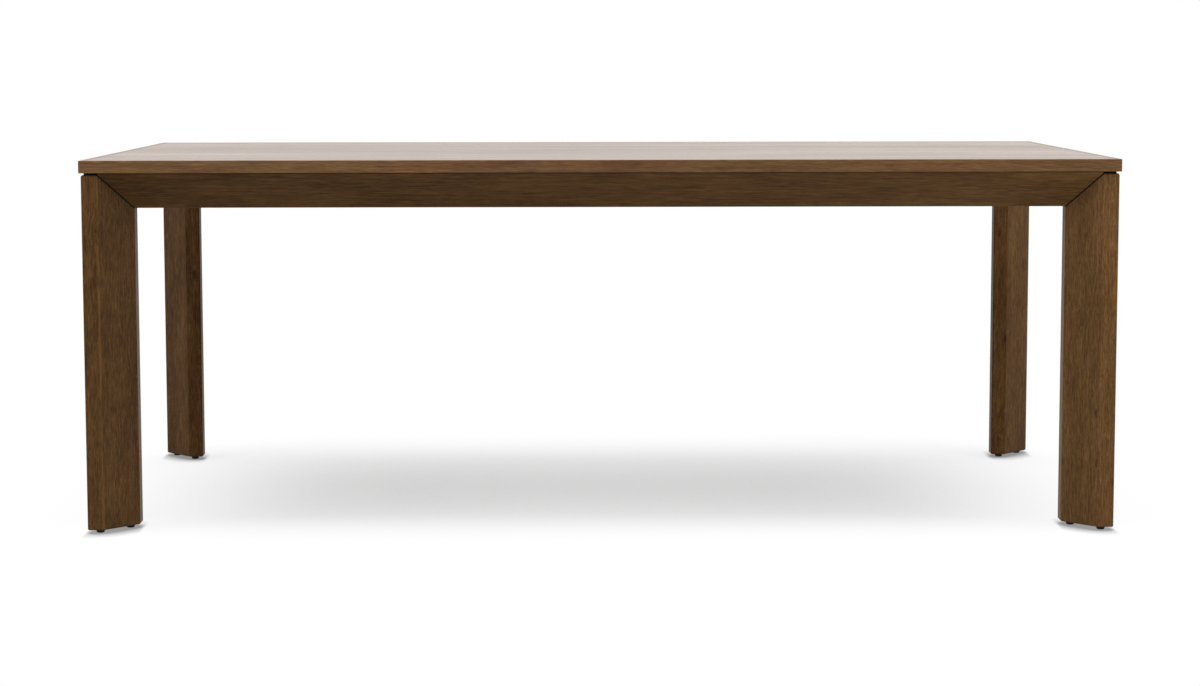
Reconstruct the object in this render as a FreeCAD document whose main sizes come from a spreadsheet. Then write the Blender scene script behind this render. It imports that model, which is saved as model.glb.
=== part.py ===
import FreeCAD, Part
import os

import Sketcher
from FreeCAD import Placement, Rotation, Vector

# Parsons dining table. The origin is on the floor under the middle of the top,
# X runs along the length, the front is at -Y and Z is up. All sizes are in millimetres.

sizes = {
    # whole table
    "top_length": 2105,
    "top_width": 1000,
    "table_height": 762,
    # top and its lippings
    "top_thick": 25.4,
    "top_corner_round": 3,
    "top_edge_round": 1.5,
    "top_lower_chamfer": 1,
    "lipping_width": 16,
    "tongue_thick": 6,
    "tongue_depth": 8,
    "tongue_clearance": 0.2,
    # shadow gap
    "top_overhang": 4,
    "shadow_gap": 4,
    "spacer_setback": 5.5,
    "lip_gap": 0.5,
    # legs and aprons
    "leg_size": 96,
    "leg_flat": 33,
    "apron_drop": 70,
    "edge_round": 3,
    "foot_chamfer": 2,
    "leg_top_chamfer": 2.5,
    "quirk_width": 1.6,
    "quirk_depth": 3,
    # battens behind the aprons
    "batten_margin": 4,
    "batten_height": 50,
    "batten_gap": 3,
    "batten_chamfer": 2,
    # corner blocks
    "block_leg": 140,
    "block_height": 58,
    "ridge_land": 5,
    # cross rails and their tenons
    "rail_offset": 350,
    "rail_width": 30,
    "tenon_thick": 12,
    "tenon_height": 26,
    "tenon_length": 18,
    "tenon_drop": 10,
    "tenon_clearance": 0.2,
    # hanger bolts, nuts and square washers
    "bolt_diameter": 10,
    "bolt_length": 130,
    "bolt_proud": 3,
    "bolt_clearance": 0.5,
    "bolt_grip": 0.1,
    "nut_width": 16,
    "nut_thick": 8,
    "washer_width": 30,
    "washer_thick": 3,
    # screws of the top
    "screw_diameter": 4.5,
    "screw_bite": 15,
    "screw_head": 9,
    "screw_head_thick": 2.6,
    "screw_clearance": 0.4,
    "screw_grip": 0.1,
    "screw_inset": 14,
    "batten_end_margin": 60,
    # glides
    "glide_inset": 22,
    "glide_diameter": 17,
    "glide_height": 8,
}

# Places and sizes worked out from the driving dimensions. Heights are above the floor;
# depths into the table are from the outer faces of the base.
layout_rules = {
    "long_half": "Sizes.top_length / 2 - Sizes.top_overhang",
    "short_half": "Sizes.top_width / 2 - Sizes.top_overhang",
    "top_under": "Sizes.table_height - Sizes.top_thick",
    "base_top": "top_under - Sizes.shadow_gap",
    "base_bottom": "base_top - Sizes.apron_drop",
    "lip_top": "top_under - Sizes.lip_gap",
    "bevel_run": "Sizes.leg_size - Sizes.leg_flat",
    "slope": "bevel_run / Sizes.apron_drop",
    "slope_length": "sqrt(bevel_run * bevel_run + Sizes.apron_drop * Sizes.apron_drop)",
    "slope_angle": "atan(slope) / 1 deg",
    "batten_reach": "Sizes.leg_size + Sizes.batten_margin",
    "batten_bottom": "top_under - Sizes.batten_height",
    "batten_foot": "Sizes.leg_flat + slope * (base_top - batten_bottom)",
    "block_tip": "Sizes.leg_flat + Sizes.block_leg",
    "block_across": "(block_tip + Sizes.leg_flat) / 2",
    "block_face": "block_across * sqrt(2)",
    "long_batten_half": "long_half - block_tip - Sizes.batten_gap",
    "short_batten_half": "short_half - block_tip - Sizes.batten_gap",
    "batten_screws": "long_batten_half - Sizes.batten_end_margin",
    "rail_half": "short_half - batten_reach",
    "tenon_high": "top_under - Sizes.tenon_drop",
    "tenon_low": "tenon_high - Sizes.tenon_height",
    "bolt_height": "base_top - Sizes.block_height / 2",
    "bolt_end": "block_face + Sizes.washer_thick + Sizes.nut_thick + Sizes.bolt_proud",
    "bolt_tip": "bolt_end - Sizes.bolt_length",
    "bolt_bore": "Sizes.bolt_diameter + 2 * Sizes.bolt_clearance",
    "bolt_relief": "bolt_bore / sqrt(2)",
    "bolt_pilot": "Sizes.bolt_diameter + 2 * Sizes.bolt_grip",
    "screw_length": "Sizes.batten_height + Sizes.screw_bite",
    "screw_line": "batten_reach - Sizes.screw_inset",
    "screw_bore": "Sizes.screw_diameter + 2 * Sizes.screw_clearance",
    "screw_pilot": "Sizes.screw_diameter + 2 * Sizes.screw_grip",
    "panel_half_length": "Sizes.top_length / 2 - Sizes.lipping_width",
    "panel_half_width": "Sizes.top_width / 2 - Sizes.lipping_width",
    "groove_middle": "Sizes.table_height - Sizes.top_thick / 2",
    "groove_thick": "Sizes.tongue_thick + 2 * Sizes.tongue_clearance",
    "groove_depth": "Sizes.tongue_depth + Sizes.tongue_clearance",
    "outer_glide": "Sizes.glide_inset",
    "inner_glide": "Sizes.leg_size - Sizes.glide_inset",
}

# Each corner and each side of the base: its turn about Z in degrees, and its place on the outer faces.
corners = {
    "front_left": ("0", "-Layout.long_half", "-Layout.short_half"),
    "front_right": ("90", "Layout.long_half", "-Layout.short_half"),
    "back_right": ("180", "Layout.long_half", "Layout.short_half"),
    "back_left": ("270", "-Layout.long_half", "Layout.short_half"),
}
sides = {
    "front": ("0", "0", "-Layout.short_half"),
    "right": ("90", "Layout.long_half", "0"),
    "back": ("180", "0", "Layout.short_half"),
    "left": ("270", "-Layout.long_half", "0"),
}
top_edges = {
    "front": ("0", "0", "-Sizes.top_width / 2"),
    "right": ("90", "Sizes.top_length / 2", "0"),
    "back": ("180", "0", "Sizes.top_width / 2"),
    "left": ("270", "-Sizes.top_length / 2", "0"),
}
rails = {"left": ("0", "-Sizes.rail_offset", "0"), "right": ("0", "Sizes.rail_offset", "0")}
lengthways = {"front": "long", "right": "short", "back": "long", "left": "short"}

both_ends = ("", "-")
glide_places = ("outer_glide", "inner_glide")
upward = Vector(0, 0, 1)
same_place = 0.001

doc = FreeCAD.newDocument("parsons_table")
sheet = doc.addObject("Spreadsheet::Sheet", "Sizes")
for row, (name, value) in enumerate(sizes.items(), start=1):
    sheet.set(f"A{row}", name)
    sheet.set(f"B{row}", str(value))
    sheet.setAlias(f"B{row}", name)
doc.recompute()

layout = doc.addObject("App::VarSet", "Layout")
for name, rule in layout_rules.items():
    layout.addProperty("App::PropertyFloat", name)
    layout.setExpression(name, rule)
doc.recompute()

nodes = []


def new_body(label, is_node=True):
    body = doc.addObject("PartDesign::Body", label)
    body.Label = label
    if is_node:
        nodes.append(body)
    return body


def place(piece, seat):
    turn, x, y = seat
    piece.Placement = Placement(Vector(), Rotation(upward, 1))
    piece.setExpression("Placement.Rotation.Angle", turn)
    piece.setExpression("Placement.Base.x", x)
    piece.setExpression("Placement.Base.y", y)


def sketch_on(body, role, shift=("0", "0", "0"), axis=None, angle="0"):
    """A sketch on one of the body's planes, shifted in the plane's own axes and then turned."""
    plane = next(item for item in body.Origin.OriginFeatures if item.Role == role)
    sketch = body.newObject("Sketcher::SketchObject", "Sketch")
    sketch.AttachmentSupport = [(plane, "")]
    sketch.MapMode = "FlatFace"
    if axis:
        sketch.AttachmentOffset = Placement(Vector(), Rotation(axis, 1))
        sketch.setExpression("AttachmentOffset.Rotation.Angle", angle)
    for letter, distance in zip("xyz", shift):
        sketch.setExpression(f"AttachmentOffset.Base.{letter}", distance)
    return sketch


def pin(sketch, curve, end, x, y):
    for kind, distance, axis in (("DistanceX", x, -2), ("DistanceY", y, -1)):
        if distance == "0":
            sketch.addConstraint(Sketcher.Constraint("PointOnObject", curve, end, axis))
        else:
            index = sketch.addConstraint(Sketcher.Constraint(kind, -1, 1, curve, end, 1.0))
            sketch.setExpression(f"Constraints[{index}]", distance)


def polygon(sketch, points):
    """A closed outline through points, each an (x, y) pair of expressions."""
    first = sketch.GeometryCount
    count = len(points)
    for index in range(count):
        start = Vector(index, index * index, 0)
        sketch.addGeometry(Part.LineSegment(start, start + Vector(1, 2 * index + 1, 0)))
    for index in range(count):
        following = first + (index + 1) % count
        sketch.addConstraint(Sketcher.Constraint("Coincident", first + index, 2, following, 1))
    for index, (x, y) in enumerate(points):
        pin(sketch, first + index, 1, x, y)


def rectangle(sketch, left, low, right, high):
    polygon(sketch, [(left, low), (right, low), (right, high), (left, high)])


def circle(sketch, x, y, diameter):
    index = sketch.addGeometry(Part.Circle(Vector(1, 1, 0), upward, 1))
    pin(sketch, index, 3, x, y)
    size = sketch.addConstraint(Sketcher.Constraint("Diameter", index, 2.0))
    sketch.setExpression(f"Constraints[{size}]", diameter)


def pad(body, sketch, length, symmetric=False):
    feature = body.newObject("PartDesign::Pad", "Pad")
    feature.Profile = sketch
    feature.setExpression("Length", length)
    if symmetric:
        feature.SideType = "Symmetric"
    doc.recompute()
    return feature


def pocket(body, sketch, length=None, symmetric=False, along_normal=False):
    """A cut to a length, or else through everything; it runs against the sketch's normal unless told."""
    before = body.Shape.Volume
    feature = body.newObject("PartDesign::Pocket", "Pocket")
    feature.Profile = sketch
    feature.Reversed = along_normal
    if symmetric:
        feature.SideType = "Symmetric"
    if length:
        feature.setExpression("Length", length)
    else:
        feature.Type = "ThroughAll"
    doc.recompute()
    if not body.Shape.Volume < before:
        raise RuntimeError(f"{body.Label}: {feature.Name} cuts nothing")
    return feature


def dress(body, kind, base, chosen, size):
    """A Fillet or Chamfer along those of the base's edges that the test chooses."""
    names = [f"Edge{number}" for number, edge in enumerate(base.Shape.Edges, start=1) if chosen(edge)]
    feature = body.newObject(f"PartDesign::{kind}", kind)
    feature.Base = (base, names)
    feature.setExpression("Radius" if kind == "Fillet" else "Size", size)
    doc.recompute()
    return feature


def is_upright(edge):
    return edge.BoundBox.ZLength > 0.999 * edge.Length


def lies_at(z):
    def chosen(edge):
        box = edge.BoundBox
        return box.ZLength < same_place and abs(box.ZMin - z) < same_place
    return chosen


def runs_along_x_at(y, z):
    def chosen(edge):
        box = edge.BoundBox
        straight = box.XLength > 0.999 * edge.Length
        return straight and abs(box.YMin - y) < same_place and abs(box.ZMin - z) < same_place
    return chosen


def bore_for_bolt(body, diameter, length=None):
    """A bore along the corner's diagonal, from the corner block's inner face towards the leg."""
    shift = ("Layout.block_across", "0", "Layout.block_across")
    bore = sketch_on(body, "YZ_Plane", shift, Vector(0, 1, 0), "45")
    circle(bore, "0", "Layout.bolt_height", diameter)
    pocket(body, bore, length)


def bore_for_screws(body, places):
    bores = sketch_on(body, "XY_Plane")
    for x, y in places:
        circle(bores, x, y, "Layout.screw_bore")
    pocket(body, bores, along_normal=True)


def make_leg(corner):
    """A post of hexagonal section; the two mitres that meet the aprons cut its top."""
    leg = new_body(f"leg_{corner}")
    plan = sketch_on(leg, "XY_Plane", ("0", "0", "Sizes.glide_height"))
    polygon(plan, [
        ("0", "0"),
        ("Sizes.leg_flat", "0"),
        ("Sizes.leg_size", "Layout.bevel_run"),
        ("Sizes.leg_size", "Sizes.leg_size"),
        ("Layout.bevel_run", "Sizes.leg_size"),
        ("0", "Sizes.leg_flat"),
    ])
    post = pad(leg, plan, "Layout.base_top - Sizes.glide_height")
    eased = dress(leg, "Fillet", post, is_upright, "Sizes.edge_round")
    footed = dress(leg, "Chamfer", eased, lies_at(sheet.get("glide_height")), "Sizes.foot_chamfer")
    dress(leg, "Chamfer", footed, lies_at(layout.base_top), "Sizes.leg_top_chamfer")

    for role in ("XZ_Plane", "YZ_Plane"):
        mitre = sketch_on(leg, role)
        polygon(mitre, [
            ("Sizes.leg_flat - Layout.bevel_run", "Layout.base_top + Sizes.apron_drop"),
            ("Sizes.leg_size + Layout.bevel_run", "Layout.base_bottom - Sizes.apron_drop"),
            ("Sizes.leg_size + Layout.bevel_run", "Layout.base_top + Sizes.apron_drop"),
        ])
        pocket(leg, mitre, symmetric=True)

    # The ridge between the mitres is planed flat in front of the corner block.
    land = sketch_on(leg, "XZ_Plane", axis=Vector(0, 1, 0), angle="45")
    land_top = "Sizes.leg_flat * sqrt(2) - Sizes.ridge_land"
    land_foot = f"{land_top} + Layout.slope * Sizes.block_height * sqrt(2)"
    beyond = "Sizes.leg_size * 2"
    polygon(land, [
        (land_top, "Layout.base_top"),
        (land_foot, "Layout.base_top - Sizes.block_height"),
        (beyond, "Layout.base_top - Sizes.block_height"),
        (beyond, "Layout.base_top"),
    ])
    pocket(leg, land, symmetric=True)

    bore_for_bolt(leg, "Layout.bolt_pilot", "Layout.block_face - Layout.bolt_tip + Sizes.bolt_grip")
    place(leg, corners[corner])
    return leg


def make_apron(side):
    """A sloping board with a lip that hides the spacer; mitred to the legs with a fine quirk at each end."""
    apron = new_body(f"apron_{side}")
    half = f"Layout.{lengthways[side]}_half"
    section = sketch_on(apron, "YZ_Plane")
    polygon(section, [
        ("0", "Layout.lip_top"),
        ("0", "Layout.base_top"),
        ("Layout.bevel_run", "Layout.base_bottom"),
        ("Sizes.leg_size", "Layout.base_bottom"),
        ("Sizes.leg_flat", "Layout.base_top"),
        ("Sizes.spacer_setback", "Layout.base_top"),
        ("Sizes.spacer_setback", "Layout.lip_top"),
    ])
    board = pad(apron, section, f"2 * ({half} - Sizes.leg_flat)", symmetric=True)
    lower_edge = runs_along_x_at(layout.bevel_run, layout.base_bottom)
    dress(apron, "Fillet", board, lower_edge, "Sizes.edge_round")

    outer = f"({half} + Sizes.leg_size)"
    mitre_top = f"({half} - Sizes.leg_flat + Layout.bevel_run)"
    mitre_foot = f"({half} - Sizes.leg_size - Layout.bevel_run)"
    mitres = sketch_on(apron, "XZ_Plane")
    lift = ("0", "Layout.base_top", "0")
    quirks = sketch_on(apron, "XZ_Plane", lift, Vector(1, 0, 0), "Layout.slope_angle")
    reliefs = sketch_on(apron, "XY_Plane", ("0", "0", "Layout.base_top - Sizes.block_height"))
    for sign in both_ends:
        polygon(mitres, [
            (f"{sign}{mitre_top}", "Layout.base_top + Sizes.apron_drop"),
            (f"{sign}{mitre_foot}", "Layout.base_bottom - Sizes.apron_drop"),
            (f"{sign}{outer}", "Layout.base_bottom - Sizes.apron_drop"),
            (f"{sign}{outer}", "Layout.base_top + Sizes.apron_drop"),
        ])
        polygon(quirks, [
            (f"{sign}{mitre_top}", "Layout.slope_length"),
            (f"{sign}{mitre_foot}", "-2 * Layout.slope_length"),
            (f"{sign}({mitre_foot} - Sizes.quirk_width)", "-2 * Layout.slope_length"),
            (f"{sign}({mitre_top} - Sizes.quirk_width)", "Layout.slope_length"),
        ])
        polygon(reliefs, [
            (f"{sign}({half} + Layout.bolt_relief)", "0"),
            (f"{sign}({half} - Layout.bolt_relief)", "0"),
            (f"{sign}({half} - Layout.block_across - Layout.bolt_relief)", "Layout.block_across"),
            (f"{sign}({half} - Layout.block_across + Layout.bolt_relief)", "Layout.block_across"),
        ])
    pocket(apron, mitres, symmetric=True)
    pocket(apron, quirks, "Sizes.quirk_depth")
    # The inner tips of the mitres are cut back along the corner's diagonal to let the bolt pass.
    pocket(apron, reliefs, along_normal=True)
    place(apron, sides[side])
    return apron


def make_batten(side):
    """A bevelled batten behind the apron, proud of it by the shadow gap; the top rests on it."""
    batten = new_body(f"batten_{side}")
    half = f"Layout.{lengthways[side]}_batten_half"
    section = sketch_on(batten, "YZ_Plane")
    polygon(section, [
        ("Sizes.leg_flat", "Layout.top_under"),
        ("Sizes.leg_flat", "Layout.base_top"),
        ("Layout.batten_foot", "Layout.batten_bottom"),
        ("Layout.batten_reach", "Layout.batten_bottom"),
        ("Layout.batten_reach", "Layout.top_under"),
    ])
    bar = pad(batten, section, f"2 * {half}", symmetric=True)
    inner_edge = runs_along_x_at(layout.batten_reach, layout.batten_bottom)
    dress(batten, "Chamfer", bar, inner_edge, "Sizes.batten_chamfer")

    if lengthways[side] == "long":
        bore_for_screws(batten, [(f"{sign}Layout.batten_screws", "Layout.screw_line") for sign in both_ends])
        floor = "Sizes.tenon_length + Sizes.tenon_clearance - Layout.batten_reach"
        mortises = sketch_on(batten, "XZ_Plane", ("0", "0", floor))
        reach = "(Sizes.tenon_thick / 2 + Sizes.tenon_clearance)"
        low = "Layout.tenon_low - Sizes.tenon_clearance"
        high = "Layout.tenon_high + Sizes.tenon_clearance"
        for sign in both_ends:
            middle = f"{sign}Sizes.rail_offset"
            rectangle(mortises, f"{middle} - {reach}", low, f"{middle} + {reach}", high)
        pocket(batten, mortises)
    place(batten, sides[side])
    return batten


def make_spacer(side):
    """A thin black strip on apron and leg, set back from their faces; the long ones run over the corners."""
    spacer = new_body(f"spacer_{side}")
    trim = "Sizes.spacer_setback" if lengthways[side] == "long" else "Sizes.leg_flat"
    end = f"(Layout.{lengthways[side]}_half - {trim})"
    plan = sketch_on(spacer, "XY_Plane", ("0", "0", "Layout.base_top"))
    rectangle(plan, f"-{end}", "Sizes.spacer_setback", end, "Sizes.leg_flat")
    pad(spacer, plan, "Sizes.shadow_gap")
    place(spacer, sides[side])
    return spacer


def make_corner_block(corner):
    """A three-cornered block that fills the angle between two aprons and takes the hanger bolt."""
    block = new_body(f"corner_block_{corner}")
    plan = sketch_on(block, "XY_Plane", ("0", "0", "Layout.base_top - Sizes.block_height"))
    polygon(plan, [
        ("Sizes.leg_flat", "Sizes.leg_flat"),
        ("Layout.block_tip", "Sizes.leg_flat"),
        ("Sizes.leg_flat", "Layout.block_tip"),
    ])
    pad(block, plan, "Sizes.block_height")

    # The two faces that bear on the aprons slope as the aprons do.
    for role in ("XZ_Plane", "YZ_Plane"):
        bevel = sketch_on(block, role)
        polygon(bevel, [
            ("Sizes.leg_flat - Layout.bevel_run", "Layout.base_top + Sizes.apron_drop"),
            ("Sizes.leg_size + Layout.bevel_run", "Layout.base_bottom - Sizes.apron_drop"),
            ("Sizes.leg_flat - Layout.bevel_run", "Layout.base_bottom - Sizes.apron_drop"),
        ])
        pocket(block, bevel, symmetric=True)

    bore_for_bolt(block, "Layout.bolt_bore")
    place(block, corners[corner])
    return block


def make_cross_rail(name):
    """A rail across the table under the top, with a stub tenon for the batten at each end."""
    rail = new_body(f"cross_rail_{name}")
    section = sketch_on(rail, "XZ_Plane")
    rectangle(section, "-Sizes.rail_width / 2", "Layout.batten_bottom",
              "Sizes.rail_width / 2", "Layout.top_under")
    pad(rail, section, "2 * Layout.rail_half", symmetric=True)
    tenons = sketch_on(rail, "XZ_Plane")
    rectangle(tenons, "-Sizes.tenon_thick / 2", "Layout.tenon_low",
              "Sizes.tenon_thick / 2", "Layout.tenon_high")
    pad(rail, tenons, "2 * (Layout.rail_half + Sizes.tenon_length)", symmetric=True)
    bore_for_screws(rail, [("0", "0")])
    place(rail, rails[name])
    return rail


def make_panel():
    """The veneered panel of the top, grooved all round for the lippings."""
    panel = new_body("top_panel")
    plan = sketch_on(panel, "XY_Plane", ("0", "0", "Layout.top_under"))
    rectangle(plan, "-Layout.panel_half_length", "-Layout.panel_half_width",
              "Layout.panel_half_length", "Layout.panel_half_width")
    pad(panel, plan, "Sizes.top_thick")

    groove_low = "Layout.groove_middle - Layout.groove_thick / 2"
    groove = sketch_on(panel, "XY_Plane", ("0", "0", groove_low))
    rectangle(groove, "-Sizes.top_length / 2", "-Sizes.top_width / 2",
              "Sizes.top_length / 2", "Sizes.top_width / 2")
    floor_x = "(Layout.panel_half_length - Layout.groove_depth)"
    floor_y = "(Layout.panel_half_width - Layout.groove_depth)"
    rectangle(groove, f"-{floor_x}", f"-{floor_y}", floor_x, floor_y)
    pocket(panel, groove, "Layout.groove_thick", along_normal=True)

    pilots = sketch_on(panel, "XY_Plane", ("0", "0", "Layout.top_under"))
    for x_sign in both_ends:
        circle(pilots, f"{x_sign}Sizes.rail_offset", "0", "Layout.screw_pilot")
        for y_sign in both_ends:
            line = f"{y_sign}(Layout.short_half - Layout.screw_line)"
            circle(pilots, f"{x_sign}Layout.batten_screws", line, "Layout.screw_pilot")
    pocket(panel, pilots, "Sizes.screw_bite + Sizes.screw_grip", along_normal=True)
    return panel


def make_top_outline():
    """The rounded outline of the whole top, which trims the lippings."""
    outline = new_body("top_outline", is_node=False)
    plan = sketch_on(outline, "XY_Plane", ("0", "0", "Layout.top_under"))
    rectangle(plan, "-Sizes.top_length / 2", "-Sizes.top_width / 2",
              "Sizes.top_length / 2", "Sizes.top_width / 2")
    slab = pad(outline, plan, "Sizes.top_thick")
    slab = dress(outline, "Fillet", slab, is_upright, "Sizes.top_corner_round")
    slab = dress(outline, "Fillet", slab, lies_at(sheet.get("table_height")), "Sizes.top_edge_round")
    dress(outline, "Chamfer", slab, lies_at(layout.top_under), "Sizes.top_lower_chamfer")
    return outline


def make_lipping(side, outline):
    """A solid edge strip with a tongue, mitred at both ends."""
    blank = new_body(f"lipping_blank_{side}", is_node=False)
    half = "Sizes.top_length / 2" if lengthways[side] == "long" else "Sizes.top_width / 2"
    tongue_tip = "(Sizes.lipping_width + Sizes.tongue_depth)"
    tongue_low = "Layout.groove_middle - Sizes.tongue_thick / 2"
    tongue_high = "Layout.groove_middle + Sizes.tongue_thick / 2"
    section = sketch_on(blank, "YZ_Plane")
    polygon(section, [
        ("0", "Layout.top_under"),
        ("Sizes.lipping_width", "Layout.top_under"),
        ("Sizes.lipping_width", tongue_low),
        (tongue_tip, tongue_low),
        (tongue_tip, tongue_high),
        ("Sizes.lipping_width", tongue_high),
        ("Sizes.lipping_width", "Sizes.table_height"),
        ("0", "Sizes.table_height"),
    ])
    pad(blank, section, f"2 * {half}", symmetric=True)
    mitres = sketch_on(blank, "XY_Plane")
    for sign in both_ends:
        polygon(mitres, [
            (f"{sign}({half} + 2 * {tongue_tip})", f"-2 * {tongue_tip}"),
            (f"{sign}({half} - 2 * {tongue_tip})", f"2 * {tongue_tip}"),
            (f"{sign}({half} + 2 * {tongue_tip})", f"2 * {tongue_tip}"),
        ])
    pocket(blank, mitres, along_normal=True)
    place(blank, top_edges[side])

    lipping = doc.addObject("Part::Common", f"lipping_{side}")
    lipping.Base = blank
    lipping.Tool = outline
    nodes.append(lipping)
    return lipping


def turned(label, half_section, axis):
    """A round piece, turned about an axis of its section's sketch."""
    body = new_body(label, is_node=False)
    section = sketch_on(body, "XZ_Plane")
    polygon(section, half_section)
    turning = body.newObject("PartDesign::Revolution", "Revolution")
    turning.Profile = section
    turning.ReferenceAxis = (section, [axis])
    turning.Angle = 360
    doc.recompute()
    return body


def make_hanger_bolt():
    """A rod along X, from its end in the leg to its end beyond the nut."""
    bolt = new_body("hanger_bolt", is_node=False)
    face = sketch_on(bolt, "YZ_Plane")
    circle(face, "0", "0", "Sizes.bolt_diameter")
    pad(bolt, face, "Sizes.bolt_length")
    return bolt


def make_nut():
    nut = new_body("nut", is_node=False)
    face = sketch_on(nut, "YZ_Plane")
    flat = "Sizes.nut_width / 2"
    corner = "Sizes.nut_width / sqrt(3)"
    polygon(face, [
        ("0", corner),
        (f"-{flat}", f"{corner} / 2"),
        (f"-{flat}", f"-{corner} / 2"),
        ("0", f"-{corner}"),
        (flat, f"-{corner} / 2"),
        (flat, f"{corner} / 2"),
    ])
    circle(face, "0", "0", "Layout.bolt_pilot")
    pad(nut, face, "Sizes.nut_thick")
    return nut


def make_washer():
    washer = new_body("washer", is_node=False)
    face = sketch_on(washer, "YZ_Plane")
    edge = "Sizes.washer_width / 2"
    rectangle(face, f"-{edge}", f"-{edge}", edge, edge)
    circle(face, "0", "0", "Layout.bolt_bore")
    pad(washer, face, "Sizes.washer_thick")
    return washer


def make_screw():
    """A wood screw along X, with the seat of its flat head at the origin."""
    radius = "Sizes.screw_diameter / 2"
    head = "Sizes.screw_head / 2"
    return turned("screw", [
        ("-Sizes.screw_head_thick", "0"),
        ("-Sizes.screw_head_thick", head),
        ("0", head),
        ("0", radius),
        ("Layout.screw_length", radius),
        ("Layout.screw_length", "0"),
    ], "H_Axis")


def make_glide():
    """A round nylon foot under a leg."""
    glide = new_body("glide", is_node=False)
    plan = sketch_on(glide, "XY_Plane")
    circle(plan, "0", "0", "Sizes.glide_diameter")
    pad(glide, plan, "Sizes.glide_height")
    return glide


def group(label, master, seats):
    """Separate copies of one small piece, all in one node."""
    node = doc.addObject("Part::Feature", label)
    copies = []
    for seat in seats:
        copy = master.Shape.copy()
        copy.Placement = seat
        copies.append(copy)
    node.Shape = Part.makeCompound(copies)
    nodes.append(node)


def on_diagonal(depth, height):
    """A seat on a corner's diagonal, facing into the table."""
    turn = Rotation(upward, 45)
    return Placement(turn.multVec(Vector(depth, 0, height)), turn)


def pointing_up(x, y, z):
    return Placement(Vector(x, y, z), Rotation(Vector(0, 1, 0), -90))


def standing(x, y):
    return Placement(Vector(x, y, 0), Rotation())


def copied(frames, seats):
    """Each seat, repeated in each frame."""
    return [frame.multiply(seat) for frame in frames for seat in seats]


def place_hardware(corner_frames, side_frames, rail_frames):
    frames = list(corner_frames.values())
    nut_seat = layout.block_face + sheet.get("washer_thick")
    for label, master, depth in (
        ("hanger_bolts", make_hanger_bolt(), layout.bolt_tip),
        ("hanger_washers", make_washer(), layout.block_face),
        ("hanger_nuts", make_nut(), nut_seat),
    ):
        group(label, master, copied(frames, [on_diagonal(depth, layout.bolt_height)]))

    long_frames = [frame for side, frame in side_frames.items() if lengthways[side] == "long"]
    batten_seats = [
        pointing_up(x, layout.screw_line, layout.batten_bottom)
        for x in (-layout.batten_screws, layout.batten_screws)
    ]
    rail_seats = [pointing_up(0, 0, layout.batten_bottom)]
    screw_seats = copied(long_frames, batten_seats) + copied(rail_frames.values(), rail_seats)
    group("top_screws", make_screw(), screw_seats)

    glide = make_glide()
    glide_seats = [standing(getattr(layout, inset), getattr(layout, inset)) for inset in glide_places]
    for corner, frame in corner_frames.items():
        group(f"glides_{corner}", glide, copied([frame], glide_seats))


for corner in corners:
    make_leg(corner)
for side in sides:
    make_apron(side)
battens = {side: make_batten(side) for side in sides}
for side in sides:
    make_spacer(side)
corner_blocks = {corner: make_corner_block(corner) for corner in corners}
cross_rails = {name: make_cross_rail(name) for name in rails}
make_panel()
top_outline = make_top_outline()
for side in sides:
    make_lipping(side, top_outline)
doc.recompute()
place_hardware(
    {corner: block.Placement for corner, block in corner_blocks.items()},
    {side: batten.Placement for side, batten in battens.items()},
    {name: rail.Placement for name, rail in cross_rails.items()},
)
doc.recompute()

for item in doc.Objects:
    if "Invalid" in item.State or "Error" in item.State:
        raise RuntimeError(f"{item.Label} failed: {item.State}")
for node in nodes:
    if node.Shape.isNull() or not node.Shape.isValid():
        raise RuntimeError(f"{node.Label} has no valid shape")

os.makedirs("parts", exist_ok=True)
for node in nodes:
    node.Shape.exportStep(f"parts/{node.Label}.step")
print(f"{len(nodes)} nodes written")
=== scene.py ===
import math
import bpy
from mathutils import Matrix, Vector


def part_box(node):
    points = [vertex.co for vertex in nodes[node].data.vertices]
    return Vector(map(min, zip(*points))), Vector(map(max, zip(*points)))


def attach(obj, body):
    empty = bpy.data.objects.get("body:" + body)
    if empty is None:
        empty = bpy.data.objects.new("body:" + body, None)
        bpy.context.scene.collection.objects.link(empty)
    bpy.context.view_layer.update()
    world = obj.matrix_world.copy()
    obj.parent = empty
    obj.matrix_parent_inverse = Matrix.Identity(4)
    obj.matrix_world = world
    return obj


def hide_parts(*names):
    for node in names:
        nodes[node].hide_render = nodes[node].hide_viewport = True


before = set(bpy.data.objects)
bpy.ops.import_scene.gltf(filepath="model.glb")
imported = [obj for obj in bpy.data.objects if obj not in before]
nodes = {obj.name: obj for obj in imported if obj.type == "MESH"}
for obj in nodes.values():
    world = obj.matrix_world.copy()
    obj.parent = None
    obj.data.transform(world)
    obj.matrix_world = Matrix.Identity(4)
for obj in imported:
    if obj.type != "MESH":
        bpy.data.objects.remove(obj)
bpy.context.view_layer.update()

scene = bpy.context.scene
print("frame loaded:", len(nodes), "nodes")


def linear(colour):  # an sRGB colour, 0 to 255, as the shader's own
    parts = [part / 255 for part in colour]
    return [part / 12.92 if part <= 0.04045 else ((part + 0.055) / 1.055) ** 2.4 for part in parts] + [1.0]


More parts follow.
